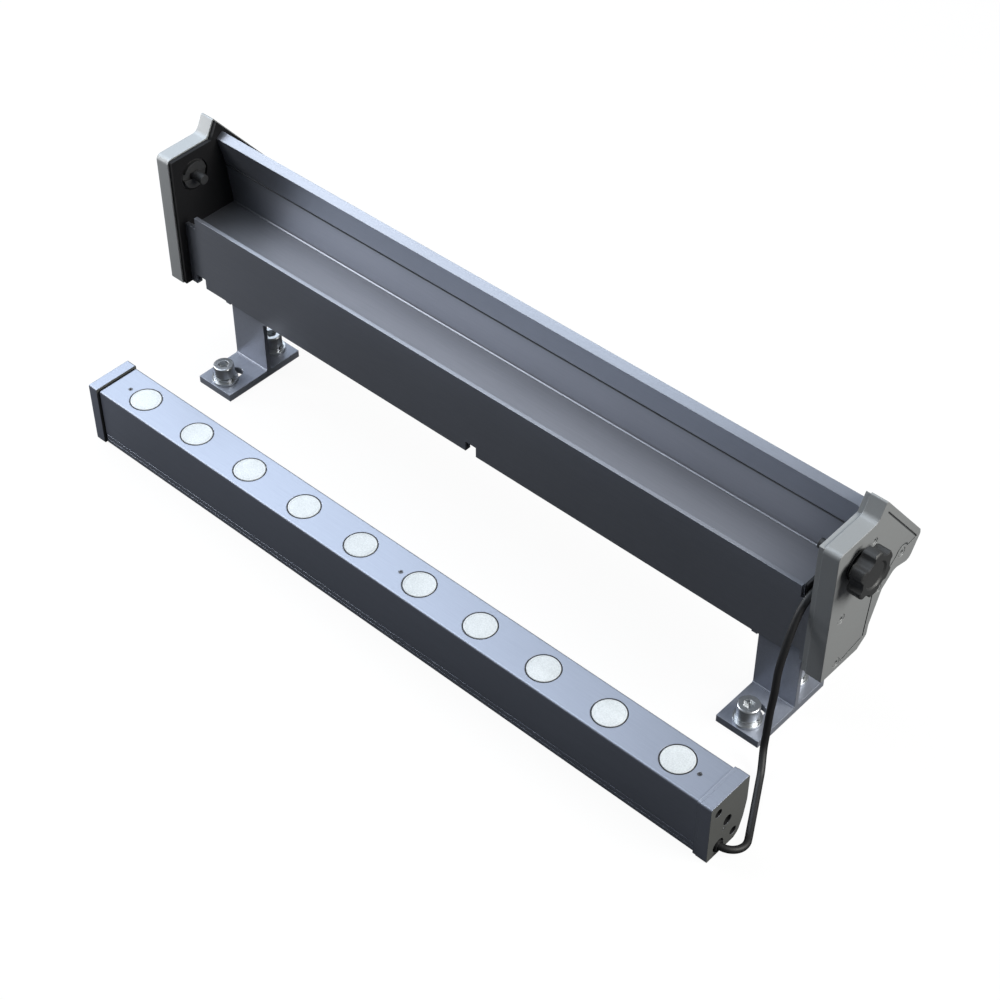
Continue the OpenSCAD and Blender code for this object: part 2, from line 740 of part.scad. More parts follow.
// Supply gland under the housing, with its open bore
module supply_gland() {
    color("dimgray") placed() translate([gland_x, gland_y, under_z - seat]) mirror([0, 0, 1])
        difference() {
            union() {
                translate([0, 0, -gland_neck_t]) cylinder(d = gland_neck, h = gland_neck_t + over);
                cylinder(d = gland_hex / cos(30), h = gland_hex_t, $fn = 6);
                translate([0, 0, gland_hex_t]) cylinder(d = gland_dome_d, h = gland_dome_t);
                translate([0, 0, gland_hex_t + gland_dome_t])
                    cylinder(d1 = gland_dome_d, d2 = gland_bore + gland_flute_d,
                        h = gland_dome_t / 2);
            }
            for (k = [0 : gland_flute_n - 1]) rotate([0, 0, 360 * k / gland_flute_n])
                translate([gland_dome_d / 2 + gland_flute_d / 4, 0, gland_hex_t + over])
                cylinder(d = gland_flute_d, h = 2 * gland_dome_t);
            translate([0, 0, -gland_neck_t - over])
                cylinder(d = gland_bore, h = gland_neck_t + gland_hex_t + 2 * gland_dome_t);
        }
}

// Grommet where the cable goes into the back wall of the trough
module cable_grommet() {
    x = inner_x - grommet_x;
    z = floor_z + grommet_z;
    y = back_y + (seam_y - back_y) * (grommet_z + grommet_d / 2) / (seam_z - floor_z);
    color("dimgray") placed() translate([x, y - seat, z]) rotate([90, 0, 0]) {
        cylinder(d1 = grommet_d, d2 = cable_d + wall_t / 2, h = grommet_in - seat);
        translate([0, 0, -wall_t - seat]) cylinder(d = grommet_neck_d, h = wall_t + over);
    }
}

// Light bar: outline of a cap, and of the profile between the caps
bar_radii = [for (s = bar_corner_shares) s * bar_w];
profile_raw = inset(bar_raw, cap_over);
bar_x0 = bar_left + cap_t + bar_seal_t;
bar_run = bar_l - 2 * (cap_t + bar_seal_t);
bar_top = bar_h - cap_over;
module bar_profile() {
    color("slategray") placed() difference() {
        run_x(bar_x0, bar_run) difference() {
            polygon(rounded(profile_raw, bar_radii));
            polygon(inset(profile_raw, bar_wall));
            translate([bar_front - over, -over])
                square([bar_w + 2 * over, cover_h + cover_gap + cap_over + over]);
        }
        translate([bar_x0 - over, bar_front + cap_over - over, line_z])
            cube([bar_run + 2 * over, over + groove_t, groove_w]);
        for (i = [0 : lens_n - 1]) translate([lens_x_at(i), lens_y, bar_top - bar_wall - over])
            cylinder(d = lens_d + 2 * ring_w, h = bar_wall + 2 * over);
        for (x = mark_x) translate([x, lens_y, bar_top - mark_t])
            cylinder(d = mark_d + 2 * play, h = mark_t + over);
    }
}
function lens_x_at(i) = lens_x + (i - (lens_n - 1) / 2) * lens_pitch;
mark_x = [lens_x_at(0) - mark_gap, lens_x_at(floor(lens_n / 2)) - mark_gap,
    lens_x_at(lens_n - 1) + mark_gap];

// Bottom cover of the bar, with two tongues that clip into the profile
line_z = cap_over + cover_h + cover_gap + line_up;
module bar_bottom_cover() {
    color("slategray") placed() run_x(bar_x0, bar_run) {
        intersection() {
            polygon(rounded(profile_raw, bar_radii));
            translate([bar_front - over, 0]) square([bar_w + 2 * over, cover_h + cap_over]);
        }
        for (y = [bar_front + cap_over + bar_wall + seat, lens_y + cover_tongue])
            translate([y, cover_h + cap_over - seat]) square([bar_wall / 2, cover_tongue]);
    }
}

// Caps of the bar, with the socket of the pivot and two counterbored screws
module bar_cap(x, side) {
    out = side > 0 ? x + cap_t : x;
    difference() {
        run_x(x, cap_t) polygon(rounded(bar_raw, bar_radii));
        bored(out, side, socket_y, socket_drop, socket_d, socket_t);
        for (p = bore_places) {
            bored(out, side, p[0], p[1], bore_d, bore_t);
            bored(out, side, p[0], p[1], bore_shank + 2 * play, cap_t + over);
        }
        bored(out, side, plug_y, plug_drop, plug_d, plug_t);
        if (side > 0) bored(out, side, exit_y, bar_h - exit_z, pocket_d, pocket_t);
    }
}
// Hole of depth t into the outer face of a cap, y from its front and drop from its top
module bored(out, side, y, drop, d, t)
    rod_x(side > 0 ? out - t : out - over, bar_front + y, bar_h - drop, d, t + over);
module bar_right_cap() color("dimgray") placed() bar_cap(bar_right - cap_t, 1);
module bar_left_cap() color("dimgray") placed() bar_cap(bar_left, -1);

// Seals under the caps, drawn in a little
module bar_seal(x)
    run_x(x, bar_seal_t) polygon(rounded(inset(bar_raw, seal_in), bar_radii));
module bar_right_seal() color("dimgray") placed() bar_seal(bar_right - cap_t - bar_seal_t);
module bar_left_seal() color("dimgray") placed() bar_seal(bar_left + cap_t);

// Socket screws deep in the caps
module bar_cap_screws() {
    color("gray") placed() for (side = [-1, 1]) for (p = bore_places)
        translate([side > 0 ? bar_right : bar_left, bar_front + p[0], bar_h - p[1]])
        rotate([0, side * 90, 0]) difference() {
            union() {
                translate([0, 0, -bore_t + play]) cylinder(d = bore_screw_d, h = bore_screw_t);
                translate([0, 0, -cap_t]) cylinder(d = bore_shank, h = cap_t - bore_t + seat);
            }
            translate([0, 0, bore_screw_t / 2 - bore_t])
                cylinder(d = bore_key / cos(30), h = bore_screw_t, $fn = 6);
        }
}

// Small plugs in the caps
module bar_cap_plugs() {
    color("gray") placed() for (x = [bar_left, bar_right - plug_t])
        rod_x(x, bar_front + plug_y, bar_h - plug_drop, plug_d - 2 * play, plug_t);
}

// Board under the top wall, and its light sources
board_z = bar_top + lens_proud - lens_t - seat;
module led_board() {
    color("white") placed() translate([bar_x0 + board_in / 2, lens_y - board_w / 2,
        board_z - board_t]) cube([bar_run - board_in, board_w, board_t]);
}
module led_chips() {
    color("khaki") placed() for (i = [0 : lens_n - 1])
        translate([lens_x_at(i) - chip / 2, lens_y - chip / 2, board_z])
        cube([chip, chip, chip_t]);
}

// Frosted lenses, each with a low edge, and the dark rings round them
module lenses() {
    color("aliceblue") placed() for (i = [0 : lens_n - 1])
        translate([lens_x_at(i), lens_y, bar_top + lens_proud]) rotate_extrude()
        polygon([[0, 0], [lens_d / 2 - lens_proud, 0], [lens_d / 2, -lens_proud],
            [lens_d / 2, -lens_t], [lens_hollow_d / 2, -lens_t],
            [lens_hollow_d / 2 - lens_proud, -lens_t + lens_hollow_t],
            [0, -lens_t + lens_hollow_t]]);
}
module lens_rings() {
    color("dimgray") placed() for (i = [0 : lens_n - 1])
        translate([lens_x_at(i), lens_y, bar_top - ring_t]) difference() {
            cylinder(d = lens_d + 2 * ring_w - 2 * play, h = ring_t);
            translate([0, 0, -over]) cylinder(d = lens_d + 2 * play, h = ring_t + 2 * over);
        }
}

// Small screws in the top of the bar
module bar_top_screws() {
    color("gray") placed() for (x = mark_x) translate([x, lens_y, bar_top - mark_t])
        difference() {
            cylinder(d = mark_d, h = mark_t);
            translate([0, 0, mark_t / 2]) cylinder(d = mark_bore, h = mark_t, $fn = 6);
        }
}

// Gland of the cable in the right cap
module bar_cable_gland() {
    color("dimgray") placed() translate([bar_right, bar_front + exit_y, exit_z])
        rotate([0, 90, 0]) difference() {
            translate([0, 0, seat - pocket_t]) cylinder(d1 = pocket_d - 2 * seat,
                d2 = cable_d + 2 * gland_out, h = pocket_t + gland_out - seat);
            translate([0, 0, -cable_in])
                cylinder(d = cable_d + 2 * gland_play, h = cable_in + gland_out + over);
        }
}

// Cable: one tube swept along the route
function spline(p, i, t) =
    let (n = len(p), a = p[max(i - 1, 0)], b = p[i], c = p[i + 1], d = p[min(i + 2, n - 1)])
    (2 * b + (c - a) * t + (2 * a - 5 * b + 4 * c - d) * t * t
        + (3 * b - a - 3 * c + d) * t * t * t) / 2;
path = concat([for (i = [0 : len(route) - 2]) each
    [for (k = [0 : cable_steps - 1]) spline(route, i, k / cable_steps)]],
    [route[len(route) - 1]]);
function heading(i) = along(path[max(i - 1, 0)], path[min(i + 1, len(path) - 1)]);
// Frame carried along the path without twist
function carry(i, up) =
    let (t = heading(i), u = up - t * (up * t), v = u / norm(u))
    i == len(path) - 1 ? [v] : concat([v], carry(i + 1, v));
ups = carry(0, [0, 0, 1]);
module tube(d) {
    n = len(path);
    points = [for (i = [0 : n - 1])
        let (t = i == 0 ? [1, 0, 0] : i == n - 1 ? [0, 1, 0] : heading(i),
            u0 = ups[i] - t * (ups[i] * t), u = u0 / norm(u0), w = cross(t, u))
        each [for (k = [0 : cable_sides - 1])
            let (a = 360 * k / cable_sides) path[i] + d / 2 * (u * cos(a) + w * sin(a))]];
    faces = concat([[for (k = [0 : cable_sides - 1]) k]],
        [for (i = [0 : n - 2]) for (k = [0 : cable_sides - 1])
            let (a = i * cable_sides + k, b = i * cable_sides + (k + 1) % cable_sides,
                c = a + cable_sides, e = b + cable_sides) each [[a, c, b], [b, c, e]]],
        [[for (k = [cable_sides - 1 : -1 : 0]) (n - 1) * cable_sides + k]]);
    polyhedron(points = points, faces = faces, convexity = 6);
}
module cable() color("dimgray") placed() tube(cable_d);

housing_base();
rear_visor();
left_end_plate();
right_end_plate();
left_end_seal();
right_end_seal();
left_plate_screws();
right_plate_screws();
left_pivot_bolt();
left_coupling();
right_coupling();
knob();
knob_stud();
knob_washer();
left_foot();
right_foot();
left_saddle();
right_saddle();
left_anchor_screws();
right_anchor_screws();
left_anchor_washers();
right_anchor_washers();
left_clamp_screw();
right_clamp_screw();
driver();
supply_gland();
cable_grommet();
bar_profile();
bar_bottom_cover();
bar_left_cap();
bar_right_cap();
bar_left_seal();
bar_right_seal();
led_board();
led_chips();
lenses();
lens_rings();
bar_top_screws();
bar_cap_screws();
bar_cap_plugs();
bar_cable_gland();
cable();
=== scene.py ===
"""Outdoor wall washer: a trough housing on two feet, its light bar laid in front on a thin cable."""
import json
import math

import bmesh
import bpy
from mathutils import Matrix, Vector
from mathutils.bvhtree import BVHTree


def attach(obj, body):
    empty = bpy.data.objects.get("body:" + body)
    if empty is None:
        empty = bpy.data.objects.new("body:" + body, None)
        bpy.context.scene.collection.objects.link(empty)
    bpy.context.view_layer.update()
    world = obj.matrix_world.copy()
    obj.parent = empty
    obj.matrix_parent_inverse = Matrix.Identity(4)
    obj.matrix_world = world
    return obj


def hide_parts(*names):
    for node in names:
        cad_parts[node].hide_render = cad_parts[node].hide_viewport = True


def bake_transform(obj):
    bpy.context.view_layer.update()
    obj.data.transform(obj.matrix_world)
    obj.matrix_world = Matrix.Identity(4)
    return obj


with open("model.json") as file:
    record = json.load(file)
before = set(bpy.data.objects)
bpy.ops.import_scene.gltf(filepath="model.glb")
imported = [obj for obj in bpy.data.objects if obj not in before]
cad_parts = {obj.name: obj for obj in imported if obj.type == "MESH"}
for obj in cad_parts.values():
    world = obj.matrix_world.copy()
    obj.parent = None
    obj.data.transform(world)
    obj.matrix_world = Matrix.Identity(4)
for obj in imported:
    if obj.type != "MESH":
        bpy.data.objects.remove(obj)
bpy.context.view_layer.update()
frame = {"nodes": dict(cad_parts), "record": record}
scene = bpy.context.scene
record = frame["record"]
BODY = {node: body for body, nodes in record["behaviour"]["bodies"].items() for node in nodes}
# The housing's middle in the row frame
OFFSET = Vector((-0.00465, 0.010, 0.0))


def at(x, y, z):
    """A point given in millimetres from the housing's middle, in the row frame."""
    return Vector((x, y, z)) / 1000 + OFFSET


# Camera, fitted to the photograph
CAMERA_PLACE = at(617.1, -646.7, 881.5)
CAMERA_DROP = 44.043
CAMERA_TURN = 42.345
FOCAL_LENGTH = 77.02
SENSOR_WIDTH = 36
CLIP_START = 0.05

camera = bpy.data.objects.new("camera", bpy.data.cameras.new("camera"))
scene.collection.objects.link(camera)
camera.location = CAMERA_PLACE
camera.rotation_euler = (math.radians(90 - CAMERA_DROP), 0, math.radians(CAMERA_TURN))
camera.data.lens = FOCAL_LENGTH
camera.data.sensor_width = SENSOR_WIDTH
camera.data.clip_start = CLIP_START
scene.camera = camera
scene.view_settings.view_transform = "Standard"

# Cable: the same centre line as in the part's source, from the bar to the back wall
ROUTE = [
    (253, -89, 6.5), (255.8, -89, 6.5), (259.1, -88.79, 6.4), (262.18, -87.64, 6.1),
    (264.71, -85.52, 5.65), (266.38, -82.68, 5.1), (267, -79.45, 4.55), (266.5, -76.2, 4.05),
    (265.08, -73.22, 3.55), (262.75, -69.02, 3), (260.31, -64.66, 2.6), (257.79, -60.11, 2.35),
    (255.16, -55.39, 2.3), (252.44, -50.5, 2.3), (249.62, -45.43, 2.35), (246.7, -40.19, 2.7),
    (243.68, -34.77, 4.3), (238.6, -27, 11.5), (237.2, -24, 21), (236.4, -21.9, 34),
    (236, -19.3, 48), (234.8, -16.5, 61), (234.5, -12.5, 73), (234, -7.5, 83.5),
    (233.3, -1, 92), (233, 6.5, 96.8), (232.5, 15, 98), (232.5, 25, 98), (232.5, 39, 98),
]
CABLE_D = 0.0042
CABLE_STEPS = 4
CABLE_SIDES = 16
CABLE_CREASE = 50


def spline(points, steps):
    """Catmull-Rom curve through the points."""
    out = []
    n = len(points)
    for i in range(n - 1):
        a, b = points[max(i - 1, 0)], points[i]
        c, d = points[i + 1], points[min(i + 2, n - 1)]
        for k in range(steps):
            t = k / steps
            out.append((2 * b + (c - a) * t + (2 * a - 5 * b + 4 * c - d) * t * t
                        + (3 * b - a - 3 * c + d) * t ** 3) / 2)
    return out + [points[-1]]


def angles(count):
    """Angles that share a full turn evenly."""
    return [2 * math.pi * k / count for k in range(count)]


def tube(name, path, radius, sides, first, last):
    """Closed tube along a path, with the directions of its two ends given."""
    end = len(path) - 1
    heads = [(path[min(i + 1, end)] - path[max(i - 1, 0)]).normalized() for i in range(end + 1)]
    heads[0] = first
    heads[-1] = last
    up = Vector((0, 0, 1))
    bm = bmesh.new()
    rings = []
    for p, head in zip(path, heads):
        up = (up - head * up.dot(head)).normalized()
        side = head.cross(up)
        rings.append([bm.verts.new(p + (up * math.cos(a) + side * math.sin(a)) * radius)
                      for a in angles(sides)])
    for a, b in zip(rings, rings[1:]):
        for k in range(sides):
            bm.faces.new((a[k], a[(k + 1) % sides], b[(k + 1) % sides], b[k]))
    bm.faces.new(rings[0])
    bm.faces.new(list(reversed(rings[-1])))
    bmesh.ops.recalc_face_normals(bm, faces=bm.faces)
    return piece(name, bm, CABLE_CREASE)


def piece(name, bm, crease):
    """Object from a bmesh, smooth but for the edges sharper than the crease angle."""
    for f in bm.faces:
        f.smooth = True
    for e in bm.edges:
        e.smooth = len(e.link_faces) == 2 and e.calc_face_angle(0) < math.radians(crease)
    mesh = bpy.data.meshes.new(name)
    bm.to_mesh(mesh)
    bm.free()
    obj = bpy.data.objects.new(name, mesh)
    scene.collection.objects.link(obj)
    return obj


line = spline([at(*p) for p in ROUTE], CABLE_STEPS)
cable = tube("joining_cable", line, CABLE_D / 2, CABLE_SIDES, Vector((1, 0, 0)), Vector((0, 1, 0)))
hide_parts("cable")
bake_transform(cable)

# Shares that hold for every material
SLOW_SHARE = 0.45
SLOW_DETAIL = 3
DARK_STOP = 0.32
LIGHT_STOP = 0.68
BEVEL_SAMPLES = 4
# Grain drawn out along the profiles
LONG = (0.02, 1, 1)


def ramp(nodes, stops):
    """Colour ramp with the (place, colour) stops."""
    node = nodes.new("ShaderNodeValToRGB")
    while len(node.color_ramp.elements) < len(stops):
        node.color_ramp.elements.new(0.5)
    for element, (place, color) in zip(node.color_ramp.elements, stops):
        element.position = place
        element.color = (*color, 1)
    return node


def material(name, light, dark, rough, scale, bump, depth, edge, metallic=0, grain=(1, 1, 1),
             cloud=9.0, detail=4.0, **sockets):
    """Principled surface with fine grain, slow clouding and rounded edges."""
    mat = bpy.data.materials.new(name)
    mat.use_nodes = True
    nodes, links = mat.node_tree.nodes, mat.node_tree.links
    shader = nodes["Principled BSDF"]
    shader.inputs["Metallic"].default_value = metallic
    for key, value in sockets.items():
        shader.inputs[key.replace("_", " ")].default_value = value
    place = nodes.new("ShaderNodeTexCoord")
    stretch = nodes.new("ShaderNodeMapping")
    stretch.inputs["Scale"].default_value = grain
    fine = nodes.new("ShaderNodeTexNoise")
    fine.inputs["Scale"].default_value = scale
    fine.inputs["Detail"].default_value = detail
    slow = nodes.new("ShaderNodeTexNoise")
    slow.inputs["Scale"].default_value = cloud
    slow.inputs["Detail"].default_value = SLOW_DETAIL
    links.new(place.outputs["Object"], stretch.inputs["Vector"])
    links.new(stretch.outputs["Vector"], fine.inputs["Vector"])
    links.new(place.outputs["Object"], slow.inputs["Vector"])
    mix = nodes.new("ShaderNodeMix")
    mix.inputs[0].default_value = SLOW_SHARE
    links.new(fine.outputs["Fac"], mix.inputs[2])
    links.new(slow.outputs["Fac"], mix.inputs[3])
    colour = ramp(nodes, [(DARK_STOP, dark), (LIGHT_STOP, light)])
    links.new(mix.outputs[0], colour.inputs["Fac"])
    links.new(colour.outputs["Color"], shader.inputs["Base Color"])
    spread = nodes.new("ShaderNodeMapRange")
    spread.inputs["To Min"].default_value = rough[0]
    spread.inputs["To Max"].default_value = rough[1]
    links.new(mix.outputs[0], spread.inputs["Value"])
    links.new(spread.outputs["Result"], shader.inputs["Roughness"])
    relief = nodes.new("ShaderNodeBump")
    relief.inputs["Strength"].default_value = bump
    relief.inputs["Distance"].default_value = depth
    links.new(fine.outputs["Fac"], relief.inputs["Height"])
    if edge:
        round_edge = nodes.new("ShaderNodeBevel")
        round_edge.samples = BEVEL_SAMPLES
        round_edge.inputs["Radius"].default_value = edge
        links.new(round_edge.outputs["Normal"], relief.inputs["Normal"])
    links.new(relief.outputs["Normal"], shader.inputs["Normal"])
    return mat


M = {
    "profile": material("anodised_profile", (0.25, 0.262, 0.298), (0.215, 0.226, 0.258),
                        rough=(0.26, 0.34), scale=2600, bump=0.06, depth=0.00005, edge=0.0004,
                        metallic=0.6, grain=LONG),
    "bar": material("anodised_bar", (0.30, 0.325, 0.39), (0.265, 0.287, 0.345),
                    rough=(0.34, 0.42), scale=2600, bump=0.05, depth=0.00005, edge=0.0005,
                    metallic=0.6, grain=LONG),
    "plate": material("blasted_plate", (0.34, 0.35, 0.355), (0.305, 0.314, 0.318),
                      rough=(0.42, 0.5), scale=1600, bump=0.10, depth=0.00004, edge=0.0006,
                      metallic=0.4),
    "foot": material("anodised_foot", (0.34, 0.365, 0.43), (0.28, 0.30, 0.355),
                     rough=(0.34, 0.46), scale=900, bump=0.08, depth=0.00005, edge=0.0004,
                     metallic=0.5, grain=(1, 0.3, 1)),
    "cap": material("satin_cap", (0.125, 0.128, 0.124), (0.10, 0.103, 0.10),
                    rough=(0.42, 0.52), scale=1500, bump=0.12, depth=0.00006, edge=0.0006,
                    metallic=0.2),
    "steel": material("bright_steel", (0.62, 0.64, 0.66), (0.50, 0.515, 0.53),
                      rough=(0.27, 0.37), scale=500, bump=0.05, depth=0.00004, edge=0.0003,
                      metallic=0.9, grain=(1, 1, 8)),
    "pale_rubber": material("grey_rubber", (0.33, 0.34, 0.345), (0.29, 0.30, 0.304),
                            rough=(0.5, 0.6), scale=1500, bump=0.12, depth=0.00005, edge=0.0003,
                            metallic=0.3),
    "groove": material("groove_shade", (0.10, 0.105, 0.11), (0.07, 0.073, 0.076),
                       rough=(0.5, 0.6), scale=1600, bump=0.10, depth=0.00004, edge=None,
                       metallic=0.2),
    "dark_steel": material("dark_steel", (0.12, 0.12, 0.125), (0.08, 0.08, 0.085),
                           rough=(0.3, 0.42), scale=900, bump=0.05, depth=0.00004, edge=0.0002,
                           metallic=0.8),
    "plastic": material("black_plastic", (0.036, 0.037, 0.038), (0.022, 0.022, 0.023),
                        rough=(0.42, 0.55), scale=1400, bump=0.22, depth=0.00008, edge=0.0005),
    "rubber": material("black_rubber", (0.010, 0.010, 0.011), (0.006, 0.006, 0.007),
                       rough=(0.5, 0.62), scale=1200, bump=0.18, depth=0.00006, edge=0.0002),
    "matt_rubber": material("matt_rubber", (0.010, 0.010, 0.011), (0.006, 0.006, 0.007),
                            rough=(0.62, 0.72), scale=1200, bump=0.18, depth=0.00006, edge=0.0002,
                            Specular_IOR_Level=0.2),
    "driver": material("driver_metal", (0.5, 0.5, 0.5), (0.42, 0.42, 0.42),
                       rough=(0.35, 0.45), scale=900, bump=0.05, depth=0.00005, edge=0.0003,
                       metallic=0.8, grain=(0.1, 1, 1)),
    "board": material("solder_mask", (0.8, 0.8, 0.78), (0.72, 0.72, 0.7),
                      rough=(0.3, 0.4), scale=700, bump=0.05, depth=0.00003, edge=None),
    "led": material("led_resin", (0.85, 0.75, 0.3), (0.75, 0.62, 0.2),
                    rough=(0.25, 0.35), scale=900, bump=0.05, depth=0.00003, edge=None),
    "lens": material("frosted_lens", (0.63, 0.655, 0.67), (0.47, 0.495, 0.505),
                     rough=(0.35, 0.5), scale=1400, bump=0.8, depth=0.0003, edge=0.0002,
                     cloud=60, detail=1),
}
LOOK = {
    "housing_base": "profile", "rear_visor": "profile",
    "left_end_plate": "plate", "right_end_plate": "plate",
    "left_end_seal": "matt_rubber", "right_end_seal": "pale_rubber",
    "left_plate_screws": "plate", "right_plate_screws": "plate",
    "left_pivot_bolt": "plastic", "left_coupling": "plastic", "right_coupling": "plastic",
    "knob": "plastic", "knob_stud": "plastic", "knob_washer": "plastic",
    "left_foot": "foot", "right_foot": "foot", "left_saddle": "foot", "right_saddle": "foot",
    "left_anchor_screws": "steel", "right_anchor_screws": "steel",
    "left_anchor_washers": "steel", "right_anchor_washers": "steel",
    "left_clamp_screw": "steel", "right_clamp_screw": "steel",
    "driver": "driver", "supply_gland": "plastic", "cable_grommet": "rubber",
    "bar_profile": "bar", "bar_bottom_cover": "bar", "bar_left_cap": "cap",
    "bar_right_cap": "cap", "bar_left_seal": "matt_rubber", "bar_right_seal": "bar",
    "led_board": "board", "led_chips": "led", "lenses": "lens", "lens_rings": "rubber",
    "bar_top_screws": "dark_steel", "bar_cap_screws": "rubber", "bar_cap_plugs": "steel",
    "bar_cable_gland": "rubber",
}


def paint(obj, look):
    """Give the object one material in place of what it has."""
    obj.data.materials.clear()
    obj.data.materials.append(M[look])


def add_paint(obj, look, faces):
    """Give some of the object's faces a further material."""
    if not faces:
        return
    obj.data.materials.append(M[look])
    for k in faces:
        obj.data.polygons[k].material_index = len(obj.data.materials) - 1


paint(cable, "rubber")
for node, look in LOOK.items():
    paint(frame["nodes"][node], look)

# Pieces whose hard edges are really rounded, with the width of the rounding
ROUNDED = {
    "left_end_plate": 0.0005, "right_end_plate": 0.0005, "left_foot": 0.0005,
    "right_foot": 0.0005, "knob": 0.0006, "left_anchor_screws": 0.0003,
    "right_anchor_screws": 0.0003, "bar_left_cap": 0.0005, "bar_right_cap": 0.0005,
    "left_coupling": 0.0004, "right_coupling": 0.0004,
}
SAME_PLACE = 1e-5
WELD = 1e-6
FLAT_ANGLE = 0.6
HARD_ANGLE = 28
ROUND_SEGMENTS = 2
FORM_CREASE = 32
# The contour line in the end plates: how deep it lies, and how wide it may be
LINE_DEPTH = 0.0005
LINE_DEPTH_PLAY = 0.00008
LINE_LEAST = 0.0003
LINE_MOST = 0.0011
LINE_WIDENING = 0.0002
# A cap's faces whose normal points less than this along x take the bar's colour
CAP_SIDE = 0.75
HOLE_REACH = 0.012


def line_faces(bm, node):
    """Faces of the fine contour line cut into an end plate's outside."""
    if not node.endswith("plate"):
        return []
    out = 1 if node.startswith("right") else -1
    reach = max(v.co.x * out for v in bm.verts)
    deep = [f for f in bm.faces if f.normal.x * out > 0.9
            and abs(f.calc_center_median().x * out - reach + LINE_DEPTH) < LINE_DEPTH_PLAY]
    rims = {e for f in deep for e in f.edges}
    return deep + [f for f in bm.faces if abs(f.normal.x) < 0.5 and rims & set(f.edges)]


def widen_line(lines):
    """Make the contour line a little wider, so that it reads from afar."""
    rim = list(dict.fromkeys(v for f in lines for v in f.verts))
    moves = {}
    for v in rim:
        across = [w.co - v.co for w in rim if abs(w.co.x - v.co.x) < SAME_PLACE
                  and LINE_LEAST < (w.co - v.co).length < LINE_MOST]
        if across:
            moves[v] = min(across, key=lambda way: way.length).normalized() * -LINE_WIDENING
    for v, way in moves.items():
        v.co += way


def cap_sides(bm):
    """Numbers of a cap's side faces."""
    return [f.index for f in bm.faces if abs(f.normal.x) < CAP_SIDE]


def cap_hole_shade(bm):
    """Numbers of the faces that look at another face of the cap: the walls of its holes, painted
    black as shade.
    """
    solid = BVHTree.FromBMesh(bm)
    found = []
    for f in bm.faces:
        start = f.calc_center_median() + f.normal * SAME_PLACE
        if abs(f.normal.x) < CAP_SIDE and solid.ray_cast(start, f.normal, HOLE_REACH)[0]:
            found.append(f.index)
    return found


def soften(node, width):
    """Replace the node by its own form with its hard edges really rounded."""
    bm = bmesh.new()
    bm.from_mesh(frame["nodes"][node].data)
    bmesh.ops.remove_doubles(bm, verts=bm.verts, dist=WELD)
    bmesh.ops.dissolve_limit(bm, angle_limit=math.radians(FLAT_ANGLE), verts=bm.verts,
                             edges=bm.edges)
    bm.normal_update()
    lines = line_faces(bm, node)
    widen_line(lines)
    kept = {e for f in lines for e in f.edges}
    # The right cap meets its seal without a chamfer
    if node == "bar_right_cap":
        joint = min(v.co.x for v in bm.verts) + SAME_PLACE
        kept |= {e for e in bm.edges if all(v.co.x < joint for v in e.verts)}
    hard = [e for e in bm.edges if len(e.link_faces) == 2 and e not in kept
            and e.calc_face_angle(0) > math.radians(HARD_ANGLE)]
    bmesh.ops.bevel(bm, geom=hard, offset=width, segments=ROUND_SEGMENTS, profile=0.5,
                    affect="EDGES", clamp_overlap=True)
    bm.normal_update()
    bm.faces.index_update()
    is_cap = node.endswith("cap")
    sides = cap_sides(bm) if is_cap else []
    holes = cap_hole_shade(bm) if is_cap else []
    grooves = [f.index for f in line_faces(bm, node)]
    obj = piece(node + "_form", bm, FORM_CREASE)
    weigh = obj.modifiers.new("flat faces", "WEIGHTED_NORMAL")
    weigh.weight = 100
    weigh.keep_sharp = True
    paint(obj, LOOK[node])
    add_paint(obj, "bar", sides)
    # The walls of the cap's holes take black rubber: painted shade in the recesses.
    add_paint(obj, "rubber", holes)
    # The contour line's faces take the dark groove colour: painted shade in the groove.
    add_paint(obj, "groove", grooves)
    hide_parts(node)
    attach(obj, BODY[node])


for node, width in ROUNDED.items():
    soften(node, width)


def turned(bm, centre, axis, profile, sides):
    """Add a closed turned form: profile of (radius, height) pairs from axis to axis."""
    axis = axis.normalized()
    u = axis.orthogonal().normalized()
    w = axis.cross(u)
    rings = []
    for r, h in profile:
        base = centre + axis * h
        if r == 0:
            rings.append([bm.verts.new(base)])
        else:
            rings.append([bm.verts.new(base + (u * math.cos(a) + w * math.sin(a)) * r)
                          for a in angles(sides)])
    for a, b in zip(rings, rings[1:]):
        for k in range(sides):
            e = (k + 1) % sides
            face = [a[0]] if len(a) == 1 else [a[k], a[e]]
            face += [b[0]] if len(b) == 1 else [b[e], b[k]]
            bm.faces.new(face)


def bar_between(bm, section, first, last):
    """Add a straight bar along x with the (y, z) section in mm."""
    rows = [[bm.verts.new(at(x, *q)) for q in section] for x in (first, last)]
    n = len(section)
    for k in range(n):
        bm.faces.new((rows[0][k], rows[0][(k + 1) % n], rows[1][(k + 1) % n], rows[1][k]))
    bm.faces.new(rows[0])
    bm.faces.new(list(reversed(rows[1])))


def finish_piece(name, bm, look, body, crease, nodes=()):
    """Make the piece, and say where it belongs and which nodes it replaces."""
    bmesh.ops.recalc_face_normals(bm, faces=bm.faces)
    obj = piece(name, bm, crease)
    paint(obj, look)
    if nodes:
        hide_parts(*nodes)
    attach(obj, body)


LENS_COUNT = 10
LENS_PITCH = 45
LENS_ROW = (21.7, -82.996, 41.6)
LENS_SIDES = 64
LENS_R = 0.0092
LENS_DEPTH = 0.0022
LENS_RIM = [(0.0089, 0.00018), (0.0082, 0.00022), (0.0081, 0.0001)]
DOME_R = 0.0078
DOME_FOOT = 0.0001
DOME_RISE = 0.0003
DOME_STEPS = 12


